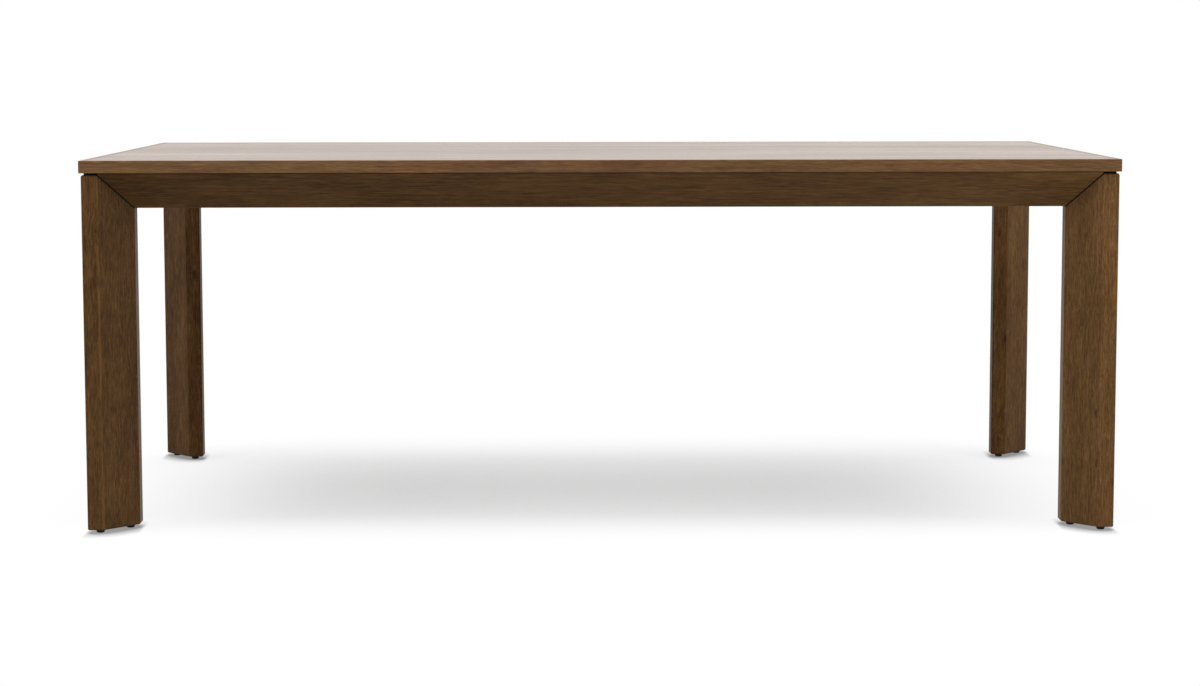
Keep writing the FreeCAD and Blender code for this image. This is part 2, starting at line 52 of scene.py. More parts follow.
class Wire:  # a socket of a node tree, written as a value
    def __init__(self, tree, socket=None):
        self.tree = tree
        self.socket = socket

    def node(self, kind, settings=None, inputs=None, output=0):
        made = self.tree.nodes.new("ShaderNode" + kind)
        for name, value in (settings or {}).items():
            if name == "stops":  # a ramp's stops: place and colour
                stops = made.color_ramp.elements
                while len(stops) < len(value):
                    stops.new(0.5)
                for stop, (place, colour) in zip(stops, value):
                    stop.position = place
                    stop.color = linear(colour)
            else:
                setattr(made, name, value)
        for name, value in (inputs or {}).items():
            if isinstance(value, Wire):
                self.tree.links.new(value.socket, made.inputs[name])
            else:
                made.inputs[name].default_value = value
        return Wire(self.tree, made.outputs[output])

    def maths(self, operation, *values):
        return self.node("Math", {"operation": operation}, dict(enumerate(values)))

    def __add__(self, other):
        return self.maths("ADD", self, other)

    def __sub__(self, other):
        return self.maths("SUBTRACT", self, other)

    def __rsub__(self, other):
        return self.maths("SUBTRACT", other, self)

    def __mul__(self, other):
        return self.maths("MULTIPLY", self, other)

    def __truediv__(self, other):
        return self.maths("DIVIDE", self, other)

    def __rtruediv__(self, other):
        return self.maths("DIVIDE", other, self)

    def __pow__(self, other):
        return self.maths("POWER", self, other)

    __radd__ = __add__
    __rmul__ = __mul__

    def absolute(self):
        return self.maths("ABSOLUTE", self)

    def whole(self):
        return self.maths("FLOOR", self)

    def fraction(self):
        return self.maths("FRACT", self)

    def sine(self):
        return self.maths("SINE", self)

    def most(self, other):
        return self.maths("MAXIMUM", self, other)

    def least(self, other):
        return self.maths("MINIMUM", self, other)

    def vector(self, x, y, z):
        return self.node("CombineXYZ", inputs={0: x, 1: y, 2: z})

    def split(self):
        return [self.node("SeparateXYZ", inputs={0: self}, output=axis) for axis in range(3)]

    def here(self):  # the point being shaded, in metres in the table's frame
        return self.node("TexCoord", output="Object")

    def noise(self, detail, roughness, scale=1.0):
        return self.node("TexNoise", inputs={"Vector": self, "Scale": scale, "Detail": detail,
                                             "Roughness": roughness})

    def fade(self, start, end):  # 0 at start, 1 at end, smooth between
        return self.node("MapRange", {"interpolation_type": "SMOOTHSTEP"},
                         {"Value": self, "From Min": start, "From Max": end})

    def ramp(self, stops):
        return self.node("ValToRGB", {"stops": stops}, {"Fac": self})

    def tint(self, first, second, blend="MIX"):  # self is how much of the second colour
        return self.node("Mix", {"data_type": "RGBA", "blend_type": blend},
                         {0: self, 6: first, 7: second}, output=2)


def newMaterial(name):
    material = bpy.data.materials.new(name)
    material.use_nodes = True
    tree = material.node_tree
    finish = tree.nodes["Principled BSDF"]
    return material, Wire(tree), finish


def plug(wire, finish, socket):
    wire.tree.links.new(wire.socket, finish.inputs[socket])


def fix(finish, values):  # what is the same all over the surface
    for socket, value in values.items():
        finish.inputs[socket].default_value = value


def finishWith(start, finish, colour, roughness, height, bump):
    plug(colour, finish, "Base Color")
    plug(roughness, finish, "Roughness")
    relief = start.node("Bump", inputs={"Strength": bump["strength"], "Distance": bump["depth"],
                                        "Height": height})
    plug(relief, finish, "Normal")


def dress(node, material):
    slots = nodes[node].data.materials
    slots.clear()
    slots.append(material)


def grainAxes(place, axis, shift):  # along the grain, and the two ways across it
    order = {"x": (0, 1, 2), "y": (1, 0, 2), "z": (2, 0, 1)}[axis]
    return [place[number] + offset for number, offset in zip(order, shift)]


def grainNoise(start, axes, own, lengthways=1.0, sideways=1.0):  # noise drawn out along the grain
    scales = [own["scale"][0] * lengthways, own["scale"][1] * sideways, own["scale"][2] * sideways]
    stretched = [axis * scale for axis, scale in zip(axes, scales)]
    return start.vector(*stretched).noise(own["detail"], own["roughness"])


def distance(first, second):
    return (first * first + second * second) ** 0.5


# the base's own measures, for the lines that are drawn on it
base = {
    "outer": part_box("leg_back_right")[1],
    "flat": 0.033,  # width of a leg's flat, then its bevel starts
    "side": 0.096,
    "drop": 0.070,
    "slant": 0.79,
    "mitre": (0.0023, 0.0012),  # painted shade along each mitre quirk, from clear wood to full black
    "arris": (0.0032, 0.001),
}


def fromOuterFaces(place):  # the larger and the smaller depth behind the base's outer faces
    fromEnd = base["outer"].x - place[0].absolute()
    fromFront = base["outer"].y - place[1].absolute()
    return fromEnd.most(fromFront), fromEnd.least(fromFront)


def mitreShadeLine(place):  # painted shade: the dark line in the quirk where legs and aprons meet
    inner = fromOuterFaces(place)[0]
    rise = base["drop"] / (base["side"] - base["flat"])
    line = base["outer"].z - (inner - base["flat"]) * rise
    return ((place[2] - line).absolute() * base["slant"]).fade(*base["mitre"])


def arrisHighlightLine(place):  # painted highlight along the arris between a leg's flat and its bevel
    inner, nearer = fromOuterFaces(place)
    return distance(inner - base["flat"], nearer).fade(*base["arris"])


# knots: longer than wide, with a ragged outline, and grain that bends round them
knotShape = {"length": 2.8, "push": 1.5, "eye": 4.0, "ragged": 0.006, "raggedScale": 160.0}


def knotFigure(start, place, axis, knots):  # how far the grain is pushed aside, and how dark the eye is
    push = 0.0
    eye = 0.0
    long = "xyz".index(axis)
    if knots:
        ragged = start.vector(*place).noise(3.0, 0.6, knotShape["raggedScale"]) - 0.5
        ragged = ragged * knotShape["ragged"]
        place = [part + ragged for part in place]
    for knot in knots:
        offsets = [place[number] - knot["place"][number] for number in range(3)]
        offsets[long] = offsets[long] / knotShape["length"]
        squares = [offset * offset for offset in offsets]
        away = (squares[0] + squares[1] + squares[2]) / knot["size"] ** 2
        near = 1 / (1 + away * away)
        push = near * (knot["size"] * knotShape["push"]) + push
        eye = near ** knotShape["eye"] * knot["dark"] + eye
    return push, eye


# brown stained wood under a matt lacquer
stain = {
    "tones": [(0.0, (38, 23, 9)), (0.3, (60, 39, 17)), (0.5, (79, 54, 26)), (0.72, (98, 69, 37)),
              (1.0, (126, 93, 55))],
    "reddish": (134, 76, 74),
    # painted highlight colour along the legs' arrises
    "arrisHighlightColour": (134, 94, 52),
    # painted shade in the mitre quirks: its colour and strength
    "mitreShadeBlack": (9, 6, 3),
    "mitreShadeStrength": 0.92,
    "lift": 0.05,  # makes up for what the dark parts of the figure take away
    "specular": 0.07,
    "roughness": 0.44,
    "coat": 0.0,
    "bump": {"strength": 0.25, "depth": 0.0006},
}
# its figure, from the widest marks to the finest
stainFigure = {
    "bend": {"scale": (0.9, 5, 5), "detail": 2.0, "roughness": 0.55},
    "clouds": {"scale": (3.5, 16, 16), "detail": 3.0, "roughness": 0.6},
    # breaks the painted arris highlight into patches
    "highlightBreakup": {"scale": (7, 30, 30), "detail": 3.0, "roughness": 0.55},
    "ripple": {"scale": (6, 40, 40), "detail": 3.0, "roughness": 0.55},
    "smudges": {"scale": (6, 45, 45), "detail": 3.0, "roughness": 0.6},
    "streaks": {"scale": (3.2, 95, 95), "detail": 3.0, "roughness": 0.6},
    "hue": {"scale": (5, 110, 110), "detail": 3.0, "roughness": 0.55},
    "threads": {"scale": (13, 360, 360), "detail": 3.0, "roughness": 0.68},
    "fibres": {"scale": (40, 1000, 1000), "detail": 2.0, "roughness": 0.6},
    "pores": {"scale": (45, 1300, 1300), "detail": 2.0, "roughness": 0.5},
}
yearRings = {"heart": (0.13, 0.16), "bend": 0.03, "ripple": 0.003, "perMetre": 260, "late": 2.5}


def stainedWood(name, axis, own, lacquer, red, fine=1.0, short=1.0, joined=True):
    material, start, finish = newMaterial(name)
    place = start.here().split()
    along, across, deep = grainAxes(place, axis, own["shift"])
    push, eye = knotFigure(start, place, axis, own.get("knots", ()))
    across = across + push
    axes = (along, across, deep)

    bend = grainNoise(start, axes, stainFigure["bend"]) - 0.5
    ripple = grainNoise(start, axes, stainFigure["ripple"]) - 0.5
    radius = distance(across + yearRings["heart"][0], deep + yearRings["heart"][1])
    radius = radius + bend * yearRings["bend"] + ripple * yearRings["ripple"]
    wander = start.vector(radius * 40, 0.0, 0.0).noise(1.0, 0.55) * 3  # wide years and narrow ones
    years = radius * yearRings["perMetre"] + wander
    late = years.fraction() ** yearRings["late"]  # dark late wood at the end of each year

    streaks = grainNoise(start, axes, stainFigure["streaks"], fine, fine) - 0.5
    threads = grainNoise(start, axes, stainFigure["threads"], fine * short, fine) - 0.5
    fibres = grainNoise(start, axes, stainFigure["fibres"], short) - 0.5
    clouds = grainNoise(start, axes, stainFigure["clouds"]) - 0.5
    smudges = grainNoise(start, axes, stainFigure["smudges"], short).fade(0.55, 0.75)
    pores = grainNoise(start, axes, stainFigure["pores"]).fade(0.62, 0.74)

    depth = streaks * 0.28 + threads * 1.1 + fibres * 0.6 + clouds * 0.55 - late * 0.07 - pores * 0.1
    depth = depth - smudges * 0.13 + (own["tone"] + stain["lift"]) - eye
    if "paintedShadeLean" in own:  # painted shade: darker towards one end
        depth = depth + along * own["paintedShadeLean"]
    colour = depth.ramp(stain["tones"])
    hue = grainNoise(start, (along + 1.4, across, deep), stainFigure["hue"]).fade(0.4, 0.65)
    colour = (hue * red).tint(colour, linear(stain["reddish"]), "SOFT_LIGHT")
    # a painted highlight along the arris of some legs, broken into patches
    if "arrisHighlight" in own:
        highlightPatches = arrisHighlightLine(place) * grainNoise(start, axes, stainFigure["highlightBreakup"]).fade(0.25, 0.6)
        colour = (highlightPatches * own["arrisHighlight"]).tint(colour, linear(stain["arrisHighlightColour"]))
    # painted shade along the mitre quirks
    if joined:
        colour = (mitreShadeLine(place) * stain["mitreShadeStrength"]).tint(colour, linear(stain["mitreShadeBlack"]))

    roughness = lacquer["roughness"] + threads * 0.2 + fibres * 0.15 + late * 0.04 + pores * 0.12
    height = fibres * 0.5 + threads * 0.6 - pores * 1.2 - late * 0.15
    fix(finish, {"Specular IOR Level": lacquer["specular"], "Coat Weight": lacquer["coat"],
                 "Coat Roughness": lacquer["roughness"]})
    finishWith(start, finish, colour, roughness, height, stain["bump"])
    return material


# legs: grain upright, each cut from its own board; their tones differ from board to board and also carry
# painted light and shade, lighter on the front right leg, darker and with less sheen on the back legs
legs = {
    "front_left": {
        "shift": (0.31, 1.17, 0.42), "tone": 0.46, "specular": 0.1, "arrisHighlight": 0.38,
        "knots": [{"place": (-1.026, -0.49, 0.62), "size": 0.009, "dark": 0.1}],
    },
    "front_right": {
        "shift": (2.43, 0.29, 3.16), "tone": 0.64, "specular": 0.1,
        "knots": [{"place": (1.01, -0.49, 0.242), "size": 0.0045, "dark": 0.3},
                  {"place": (1.012, -0.491, 0.141), "size": 0.005, "dark": 0.22},
                  {"place": (0.979, -0.455, 0.43), "size": 0.009, "dark": 0.05}],
    },
    "back_right": {
        "shift": (4.71, 2.63, 1.34), "tone": 0.49, "specular": 0.06,
        "knots": [{"place": (0.966, 0.4, 0.546), "size": 0.005, "dark": 0.3},
                  {"place": (0.983, 0.4, 0.29), "size": 0.0042, "dark": 0.45},
                  {"place": (0.962, 0.4, 0.035), "size": 0.014, "dark": 0.08}],
    },
    "back_left": {
        "shift": (6.16, 3.92, 2.28), "tone": 0.375, "specular": 0.06, "arrisHighlight": 0.25,
        "knots": [{"place": (-0.967, 0.4, 0.45), "size": 0.005, "dark": 0.25},
                  {"place": (-0.96, 0.4, 0.25), "size": 0.009, "dark": 0.12}],
    },
}
for corner, own in legs.items():
    # each leg's own sheen, lower on the back legs as painted shade
    lacquer = {**stain, "specular": own["specular"]}
    dress("leg_" + corner, stainedWood("legWood." + corner, "z", own, lacquer, red=0.12, short=3.2))
print("legs dressed")

# aprons: grain along each board; the front apron's lower tone and its lean, darker towards the left, are
# painted shade
aprons = {
    "front": {"axis": "x", "shift": (1.37, 4.21, 0.66), "tone": 0.425, "paintedShadeLean": 0.13},
    "back": {"axis": "x", "shift": (3.52, 1.18, 2.49), "tone": 0.54},
    "left": {"axis": "y", "shift": (5.04, 2.37, 1.81), "tone": 0.53},
    "right": {"axis": "y", "shift": (7.25, 0.94, 3.07), "tone": 0.56},
}
for side, own in aprons.items():
    dress("apron_" + side, stainedWood("apronWood." + side, own["axis"], own, stain, red=0.03, fine=1.8))
print("aprons dressed")

# solid lippings round the top, a redder board than the base
lippings = {
    "front": {"axis": "x", "shift": (0.83, 2.74, 1.09), "tone": 0.725},
    "back": {"axis": "x", "shift": (2.91, 0.57, 3.38), "tone": 0.66},
    "left": {"axis": "y", "shift": (4.66, 3.19, 0.25), "tone": 0.65},
    "right": {"axis": "y", "shift": (6.08, 1.43, 2.12), "tone": 0.68},
}
edgeLacquer = {"specular": 0.22, "roughness": 0.3, "coat": 0.06}
for side, own in lippings.items():
    edgeWood = stainedWood("lippingWood." + side, own["axis"], own, edgeLacquer, red=0.4, fine=2.2,
                           joined=False)
    dress("lipping_" + side, edgeWood)
print("lippings dressed")

# the top's veneer, laid in leaves side by side
veneer = {
    "leaf": 0.157,
    "tone": 0.54,
    "tones": [(0.0, (46, 30, 16)), (0.35, (72, 48, 27)), (0.55, (92, 65, 38)), (0.78, (112, 81, 49)),
              (1.0, (134, 100, 64))],
    "lift": 0.1,
    "seam": (38, 25, 13),
    "seamWidth": (0.494, 0.4985),  # from the middle of a leaf, in leaves
    "backing": (96, 74, 50),
    "specular": 0.4,
    "roughness": 0.28,
    "coat": 0.26,
    "bump": {"strength": 0.18, "depth": 0.0005},
}
veneerFigure = {
    "drift": {"scale": (1.1, 6, 9), "detail": 2.0, "roughness": 0.55},
    "clouds": {"scale": (1.6, 9, 40), "detail": 2.0, "roughness": 0.55},
    "wave": {"scale": (6, 50, 9), "detail": 3.0, "roughness": 0.55},
    "streaks": {"scale": (3.2, 110, 40), "detail": 4.0, "roughness": 0.62},
    "fibres": {"scale": (20, 480, 40), "detail": 3.0, "roughness": 0.6},
    "pores": {"scale": (50, 1400, 40), "detail": 2.0, "roughness": 0.5},
}


def veneeredTop():
    material, start, finish = newMaterial("topVeneer")
    place = start.here().split()
    leaves = place[1] / veneer["leaf"] + 0.5
    leaf = leaves.whole()
    within = leaves - leaf - 0.5  # across one leaf, from -0.5 to 0.5
    chance = start.node("TexWhiteNoise", {"noise_dimensions": "1D"}, {"W": leaf + 3.7})
    along = place[0] + chance * 5
    axes = (along, within * veneer["leaf"], chance)

    drift = grainNoise(start, axes, veneerFigure["drift"]) - 0.5
    wave = grainNoise(start, axes, veneerFigure["wave"]) - 0.5
    middle = within + drift * 0.9 + (chance - 0.5) * 0.7
    arches = middle * middle * 26 + along * (1.5 + chance * 3) + wave * 0.7 + drift * 5
    late = arches.fraction() ** 2.2

    streaks = grainNoise(start, axes, veneerFigure["streaks"]) - 0.5
    fibres = grainNoise(start, axes, veneerFigure["fibres"]) - 0.5
    clouds = grainNoise(start, axes, veneerFigure["clouds"]) - 0.5
    pores = grainNoise(start, axes, veneerFigure["pores"]).fade(0.62, 0.74)

    depth = streaks * 0.9 + fibres * 0.45 + clouds * 0.7 - late * 0.3 - pores * 0.12
    depth = depth + (chance - 0.5) * 0.16 + (veneer["tone"] + veneer["lift"])
    colour = depth.ramp(veneer["tones"])
    seam = within.absolute().fade(*veneer["seamWidth"])
    colour = (seam * 0.35).tint(colour, linear(veneer["seam"]))
    below = start.node("NewGeometry", output="Normal").split()[2].fade(-0.3, -0.6)  # the backing faces down
    colour = (below * 0.75).tint(colour, linear(veneer["backing"]))

    roughness = veneer["roughness"] + fibres * 0.18 + pores * 0.15 + late * 0.04
    height = fibres * 0.6 + streaks * 0.25 - pores - late * 0.12
    plug(clouds * 0.6 + (chance - 0.5) * 0.12 + veneer["coat"], finish, "Coat Weight")
    fix(finish, {"Specular IOR Level": veneer["specular"], "Coat Roughness": veneer["roughness"]})
    finishWith(start, finish, colour, roughness, height, veneer["bump"])
    return material


dress("top_panel", veneeredTop())
print("top dressed")

# black stained strips in the shadow gap
strip = {
    "tones": [(0.0, (4, 3, 3)), (1.0, (17, 14, 12))],
    "specular": 0.15,
    "bump": {"strength": 0.2, "depth": 0.0004},
}


def blackStain():
    material, start, finish = newMaterial("blackStain")
    place = start.here().split()
    grain = start.vector(place[0] * 40, place[1] * 40, place[2] * 300).noise(4.0, 0.55)
    fix(finish, {"Specular IOR Level": strip["specular"]})
    finishWith(start, finish, grain.ramp(strip["tones"]), grain * 0.2 + 0.7, grain, strip["bump"])
    return material


gapBlack = blackStain()
for side in aprons:
    dress("spacer_" + side, gapBlack)

# planed hardwood of the hidden pieces
hidden = {
    "tones": [(0.0, (112, 80, 48)), (0.4, (150, 114, 74)), (0.7, (172, 136, 94)), (1.0, (194, 162, 120))],
    "tone": 0.6,
    "specular": 0.3,
    "roughness": 0.62,
    "bump": {"strength": 0.25, "depth": 0.0007},
}
hiddenFigure = {
    "bend": {"scale": (1.2, 6, 6), "detail": 2.0, "roughness": 0.55},
    "streaks": {"scale": (5, 90, 90), "detail": 4.0, "roughness": 0.6},
    "fibres": {"scale": (25, 600, 600), "detail": 3.0, "roughness": 0.6},
}


def planedHardwood(name, axis, shift):
    material, start, finish = newMaterial(name)
    axes = grainAxes(start.here().split(), axis, shift)
    along, across, deep = axes
    bend = grainNoise(start, axes, hiddenFigure["bend"]) - 0.5
    years = (across * 0.8 + deep * 0.6 + bend * 0.04) * 190
    late = years.fraction() ** 3.0
    streaks = grainNoise(start, axes, hiddenFigure["streaks"]) - 0.5
    fibres = grainNoise(start, axes, hiddenFigure["fibres"]) - 0.5
    planer = (along * 260 + streaks * 3).sine()  # faint planer marks
    depth = streaks * 0.7 + fibres * 0.4 - late * 0.22 + hidden["tone"]
    roughness = hidden["roughness"] + fibres * 0.3 + late * 0.06
    height = fibres * 0.6 + planer * 0.06 - late * 0.2
    fix(finish, {"Specular IOR Level": hidden["specular"]})
    finishWith(start, finish, depth.ramp(hidden["tones"]), roughness, height, hidden["bump"])
    return material


for side, own in aprons.items():
    dress("batten_" + side, planedHardwood("battenWood." + side, own["axis"], own["shift"]))
for number, side in enumerate(("left", "right")):
    dress("cross_rail_" + side, planedHardwood("railWood." + side, "y", (number * 2.7, 1.3, 0.8)))
for number, corner in enumerate(legs):
    dress("corner_block_" + corner, planedHardwood("blockWood." + corner, "x", (number * 1.9, 0.7, 2.1)))
print("hidden wood dressed")

# zinc plated bolts, nuts, washers and screws
zinc = {
    "tones": [(0.0, (138, 140, 138)), (0.5, (172, 174, 170)), (1.0, (198, 198, 188))],
    "spangle": 220.0,
    "scratches": 1400.0,
    "bump": {"strength": 0.15, "depth": 0.0002},
}


def zincPlate():
    material, start, finish = newMaterial("zincPlate")
    place = start.here()
    spangle = place.noise(3.0, 0.6, zinc["spangle"])
    scratches = place.noise(2.0, 0.5, zinc["scratches"])
    fix(finish, {"Metallic": 1.0})
    finishWith(start, finish, spangle.ramp(zinc["tones"]), spangle * 0.25 + 0.22, scratches, zinc["bump"])
    return material


plate = zincPlate()
dress("hanger_washers", plate)


def turned(name, rings, seats, hollow=False):  # rings of reach and height round Z, repeated at each seat
    around = len(rings[0])
    points = []
    faces = []
    for seat in seats:
        loops = []
        for ring in rings:
            loops.append(range(len(points), len(points) + around))
            for step, (reach, height) in enumerate(ring):
                angle = 2 * math.pi * step / around
                points.append(seat @ Vector((reach * math.cos(angle), reach * math.sin(angle), height)))
        pairs = list(zip(loops, loops[1:]))
        if hollow:
            pairs.append((loops[-1], loops[0]))
        else:
            faces += [tuple(reversed(loops[0])), tuple(loops[-1])]
        for lower, upper in pairs:
            for step in range(around):
                after = (step + 1) % around
                faces.append((lower[step], lower[after], upper[after], upper[step]))
    mesh = bpy.data.meshes.new(name)
    mesh.from_pydata(points, [], faces)
    mesh.shade_smooth()
    mesh.set_sharp_from_angle(angle=math.radians(40))
    piece = bpy.data.objects.new(name, mesh)
    scene.collection.objects.link(piece)
    return piece


def standsFor(piece, node, material):
    piece.data.materials.append(material)
    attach(piece, "root")
    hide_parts(node)


def thread(start, end, own, around):  # rings of a screw thread, four to a turn, that runs out at both ends
    rings = []
    count = round((end - start) / own["pitch"] * 4)
    for number in range(count + 1):
        height = start + (end - start) * number / count
        tall = (own["crest"] - own["root"]) * min(1, number / 4, (count - number) / 4)
        phases = [(height / own["pitch"] - step / around) % 1 for step in range(around)]
        rings.append([(own["root"] + tall * abs(2 * phase - 1), height) for phase in phases])
    return rings


def cornerSeats(node, half):  # on each corner's diagonal at the node's outer end, with Z into the table
    low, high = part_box(node)
    depth = (base["outer"].x - high.x) * math.sqrt(2) + half
    seats = []
    for sideX in (-1, 1):
        for sideY in (-1, 1):
            inward = Vector((-sideX, -sideY, 0)).normalized()
            corner = Vector((sideX * base["outer"].x, sideY * base["outer"].y, (low.z + high.z) / 2))
            turn = inward.to_track_quat("Z", "Y").to_matrix().to_4x4()
            seats.append(Matrix.Translation(corner + inward * depth) @ turn)
    return seats


# hanger bolts: a wood thread in the leg, a plain shank, and a machine thread for the nut
bolt = {
    "radius": 0.005,
    "length": 0.130,
    "point": 0.009,
    "tip": 0.2,  # the point's blunt end, as a share of the thread
    "shank": 0.0046,
    "runOut": 0.001,
    "wood": {"end": 0.044, "pitch": 0.004, "root": 0.0036, "crest": 0.005},
    "machine": {"start": 0.088, "pitch": 0.0015, "root": 0.0041, "crest": 0.005},
    "around": 14,
}


def hangerBolts():
    around = bolt["around"]
    rings = []
    for ring in thread(0.0, bolt["wood"]["end"], bolt["wood"], around):
        taper = min(1, bolt["tip"] + (1 - bolt["tip"]) * ring[0][1] / bolt["point"])
        rings.append([(reach * taper, height) for reach, height in ring])
    for height in (bolt["wood"]["end"] + bolt["runOut"], bolt["machine"]["start"] - bolt["runOut"]):
        rings.append([(bolt["shank"], height)] * around)
    rings += thread(bolt["machine"]["start"], bolt["length"], bolt["machine"], around)
    piece = turned("hangerBolts", rings, cornerSeats("hanger_bolts", bolt["radius"]))
    standsFor(piece, "hanger_bolts", plate)


# six-sided nuts, chamfered on both faces
nut = {
    "flat": 0.008,
    "face": 0.0075,
    "chamfer": 30,
    "bore": 0.0051,
    "sink": 0.0005,
    "thick": 0.008,
    "around": 36,
}


def sixSided(flat, around):  # the reach of a hexagon at each step round it
    angles = [360 * step / around for step in range(around)]
    return [flat / math.cos(math.radians((angle + 30) % 60 - 30)) for angle in angles]


def hangerNuts():
    reaches = sixSided(nut["flat"], nut["around"])
    lift = [(reach - nut["face"]) * math.tan(math.radians(nut["chamfer"])) for reach in reaches]
    thick = nut["thick"]

    def circle(reach, height):
        return [(reach, height)] * nut["around"]

    rings = [
        circle(nut["bore"] + nut["sink"], 0.0),
        circle(nut["face"], 0.0),
        list(zip(reaches, lift)),
        [(reach, thick - rise) for reach, rise in zip(reaches, lift)],
        circle(nut["face"], thick),
        circle(nut["bore"] + nut["sink"], thick),
        circle(nut["bore"], thick - nut["sink"]),
        circle(nut["bore"], nut["sink"]),
    ]
    piece = turned("hangerNuts", rings, cornerSeats("hanger_nuts", nut["flat"]), hollow=True)
    standsFor(piece, "hanger_nuts", plate)


# screws of the top: a domed head with a six-sided socket, a shank and a wood thread
screw = {
    "head": 0.0045,
    "headThick": 0.0026,
    "dome": 0.0008,
    "domeRings": (0.45, 0.6, 0.75, 0.88, 0.96, 1.0),  # shares of the head
    "rim": (0.0003, 0.0004),  # chamfer under the head, across and up
    "socket": {"flat": 0.0014, "deep": 0.0013, "middle": 0.0004},
    "shank": 0.00225,
    "runOut": 0.001,
    "thread": {"start": 0.033, "end": 0.062, "pitch": 0.0024, "root": 0.0015, "crest": 0.00225},
    "tip": 0.0003,
    "railPlace": 0.350,
    "around": 24,
}


def screwHead():
    socket = screw["socket"]
    reaches = sixSided(socket["flat"], screw["around"])

    def domed(reach):
        return (reach, screw["dome"] * (reach / screw["head"]) ** 2)

    rings = [[(socket["middle"], socket["deep"])] * screw["around"]]
    rings.append([(reach, socket["deep"]) for reach in reaches])
    rings.append([domed(reach) for reach in reaches])
    for share in screw["domeRings"]:
        rings.append([domed(screw["head"] * share)] * screw["around"])
    return rings


def topScrews():
    low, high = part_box("top_screws")
    seat = screw["headThick"]
    neck = [
        (screw["head"], seat - screw["rim"][1]),
        (screw["head"] - screw["rim"][0], seat),
        (screw["shank"], seat),
        (screw["shank"], screw["thread"]["start"] - screw["runOut"]),
    ]
    rings = screwHead() + [[point] * screw["around"] for point in neck]
    rings += thread(screw["thread"]["start"], screw["thread"]["end"], screw["thread"], screw["around"])
    rings.append([(screw["tip"], high.z - low.z)] * screw["around"])
    farX = high.x - screw["head"]
    farY = high.y - screw["head"]
    places = [(-farX, -farY), (farX, -farY), (-farX, farY), (farX, farY)]
    places += [(-screw["railPlace"], 0.0), (screw["railPlace"], 0.0)]
    piece = turned("topScrews", rings, [Matrix.Translation((x, y, low.z)) for x, y in places])
    standsFor(piece, "top_screws", plate)


hangerBolts()
hangerNuts()
topScrews()
print("metal in place")

# moulded nylon glides, rounded where they meet the floor, with a narrower neck below the leg
glide = {
    "profile": [(0.0036, 0.0002), (0.0042, 0.0), (0.0066, 0.0), (0.0075, 0.0004), (0.0081, 0.0011),
                (0.0084, 0.002), (0.0085, 0.0028), (0.0085, 0.0063), (0.0083, 0.0067), (0.0079, 0.0068),
                (0.0079, 0.008)],
    "radius": 0.0085,
    "around": 36,
}
nylon = {
    "tones": [(0.0, (6, 6, 6)), (1.0, (20, 20, 21))],
    "mould": 900.0,
    "scuffs": 160.0,
    "specular": 0.3,
    "bump": {"strength": 0.2, "depth": 0.0002},
}


def blackNylon():
    material, start, finish = newMaterial("blackNylon")
    place = start.here()
    mould = place.noise(3.0, 0.6, nylon["mould"])
    scuffs = place.noise(4.0, 0.65, nylon["scuffs"]).fade(0.5, 0.75)
    colour = (mould * 0.6 + scuffs * 0.4).ramp(nylon["tones"])
    fix(finish, {"Specular IOR Level": nylon["specular"]})
    finishWith(start, finish, colour, scuffs * 0.2 + 0.45, mould + scuffs * 0.5, nylon["bump"])
    return material


def glidesUnder(corner):  # two to a leg, on its diagonal
    low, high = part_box("glides_" + corner)
    middle = (low + high) / 2
    apart = (high - low) / 2
    diagonal = Vector((math.copysign(apart.x - glide["radius"], middle.x),
                       math.copysign(apart.y - glide["radius"], middle.y), 0.0))
    floorPoint = Vector((middle.x, middle.y, low.z))
    seats = [Matrix.Translation(floorPoint + diagonal), Matrix.Translation(floorPoint - diagonal)]
    rings = [[point] * glide["around"] for point in glide["profile"]]
    return turned("glides." + corner, rings, seats)


glideNylon = blackNylon()
for corner in legs:
    standsFor(glidesUnder(corner), "glides_" + corner, glideNylon)
print("glides in place")

# white studio: a white floor whose glow carries a painted shadow under the table and painted contact shadows
# at the feet, and a white surround
studio = {
    "floorHalf": 20.0,
    "floorBounce": 0.45,  # grey that lights the table from below
    "floorSeen": 0.1,  # grey that shows the lamps' own shadows
    "floorGlow": 0.9,
    "roomReach": 0.95,  # how far the painted shadow of the top reaches on the floor below it
    "roomShade": 0.86,
    "contactReach": 0.05,  # how far the painted contact shadow of a foot reaches
    "contactPower": 1.3,
    "contactDark": 0.34,
    "contactSide": 0.01,
    "ends": (0.57, 0.69),  # where the shadow starts to fade, and over how far
    "back": (0.33, 0.50),
    "front": (0.26, 0.34),
    "surround": 0.3,
}


def showsBackground(start):  # what the eye, gloss and glass see of the studio
    kinds = ("Is Camera Ray", "Is Glossy Ray", "Is Transmission Ray")
    views = [start.node("LightPath", output=kind) for kind in kinds]
    return views[0].most(views[1]).most(views[2])


def occlusion(start, reach):
    return start.node("AmbientOcclusion", inputs={"Distance": reach}, output="AO")


def beyond(way, fade):  # 0 where the fade starts and 1 where it ends
    start, width = fade
    return (way - start) / width


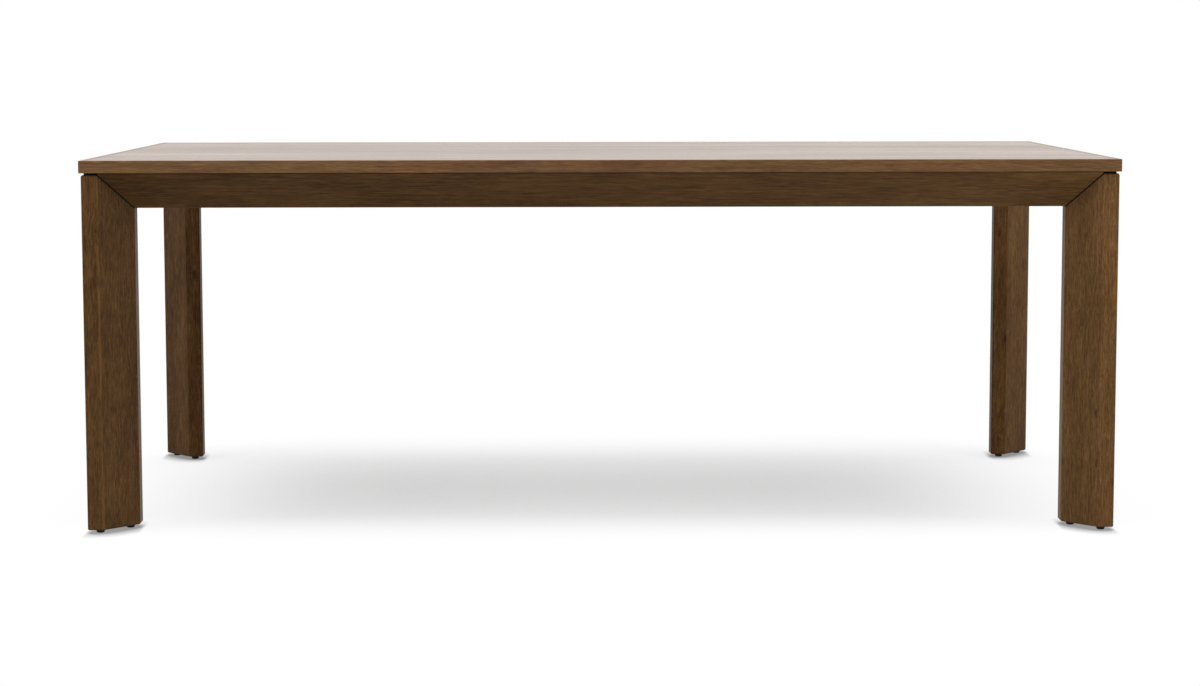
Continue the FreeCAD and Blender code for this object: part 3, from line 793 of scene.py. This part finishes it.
def whiteFloor():
    material, start, finish = newMaterial("whiteFloor")
    place = start.here().split()
    pastEnds = beyond(place[0].absolute(), studio["ends"]).most(0.0)
    pastBack = beyond(place[1], studio["back"])
    pastSides = pastBack.most(beyond(place[1] * -1, studio["front"])).most(0.0)
    far = distance(pastEnds, pastSides).fade(0.0, 1.0)
    seen = showsBackground(start)
    grey = seen * (studio["floorSeen"] - studio["floorBounce"]) + studio["floorBounce"]
    grey = grey * (1 - far * seen)
    # painted shadow: ambient occlusion darkens the floor's glow under the table and round the feet
    shade = 1 - (1 - occlusion(start, studio["roomReach"])) * studio["roomShade"]
    fromFoot = (place[0].absolute() - (base["outer"].x - base["side"] / 2)).absolute() - base["side"] / 2
    beside = fromFoot.fade(studio["contactSide"], 0.0)  # narrower to the left and right of a foot
    contact = occlusion(start, studio["contactReach"]) ** studio["contactPower"]
    footShadow = 1 - (1 - contact.most(studio["contactDark"])) * beside
    glow = ((1 - far) * shade * studio["floorGlow"] + far) * footShadow * seen
    plug(start.vector(grey, grey, grey), finish, "Base Color")
    plug(start.vector(glow, glow, glow), finish, "Emission Color")
    fix(finish, {"Emission Strength": 1.0, "Specular IOR Level": 0.0, "Roughness": 1.0})
    return material


def layFloor():
    half = studio["floorHalf"]
    corners = [(-half, -half, 0), (half, -half, 0), (half, half, 0), (-half, half, 0)]
    mesh = bpy.data.meshes.new("floor")
    mesh.from_pydata(corners, [], [(0, 1, 2, 3)])
    mesh.materials.append(whiteFloor())
    floor = bpy.data.objects.new("floor", mesh)
    scene.collection.objects.link(floor)


def surround():
    world = bpy.data.worlds.new("studio")
    world.use_nodes = True
    scene.world = world
    start = Wire(world.node_tree)
    level = showsBackground(start) * (1 - studio["surround"]) + studio["surround"]
    backdrop = world.node_tree.nodes["Background"]
    plug(start.vector(level, level, level), backdrop, "Color")
    fix(backdrop, {"Strength": 1.0})


# soft lamps at the four corners and overhead
lamps = {
    "overhead": {"place": (0.0, 0.1, 3.2), "aim": (0.0, 0.1, 0.0), "size": (4.0, 2.6), "power": 48},
    "rightHand": {"place": (3.6, -2.2, 3.4), "aim": (0.0, 0.0, 0.5), "size": (2.2, 2.2), "power": 178},
    "leftHand": {"place": (-3.6, -2.2, 3.4), "aim": (0.0, 0.0, 0.5), "size": (2.2, 2.2), "power": 160},
    "rightBehind": {"place": (4.0, 2.6, 3.2), "aim": (0.0, 0.0, 0.5), "size": (2.2, 2.2), "power": 80},
    "leftBehind": {"place": (-4.0, 2.6, 3.2), "aim": (0.0, 0.0, 0.5), "size": (2.2, 2.2), "power": 80},
}


def hangLamps():
    for name, own in lamps.items():
        light = bpy.data.lights.new(name, "AREA")
        light.shape = "RECTANGLE"
        light.size, light.size_y = own["size"]
        light.energy = own["power"]
        lamp = bpy.data.objects.new(name, light)
        lamp.location = own["place"]
        lamp.rotation_euler = (Vector(own["aim"]) - Vector(own["place"])).to_track_quat("-Z", "Y").to_euler()
        scene.collection.objects.link(lamp)


layFloor()
surround()
hangLamps()
print("studio lit")

# angles in degrees; a little shift keeps the legs nearer to upright
camera = {
    "place": (-0.0513, -5.3102, 0.9727),
    "turn": -0.577,
    "tilt": 5.171,
    "roll": -0.074,
    "lens": 71.65,
    "sensor": 36.0,
    "rise": -0.06,
}


def setCamera():
    lens = bpy.data.cameras.new("camera")
    lens.sensor_fit = "HORIZONTAL"
    lens.sensor_width = camera["sensor"]
    lens.lens = camera["lens"]
    lens.shift_y = camera["rise"]
    eye = bpy.data.objects.new("camera", lens)
    turn = Matrix.Rotation(math.radians(camera["turn"]), 4, "Z")
    tilt = Matrix.Rotation(math.radians(90 - camera["tilt"]), 4, "X")
    roll = Matrix.Rotation(math.radians(camera["roll"]), 4, "Z")
    eye.matrix_world = Matrix.Translation(camera["place"]) @ turn @ tilt @ roll
    scene.collection.objects.link(eye)
    scene.camera = eye


setCamera()
scene.view_settings.view_transform = "Standard"

print("scene ready")
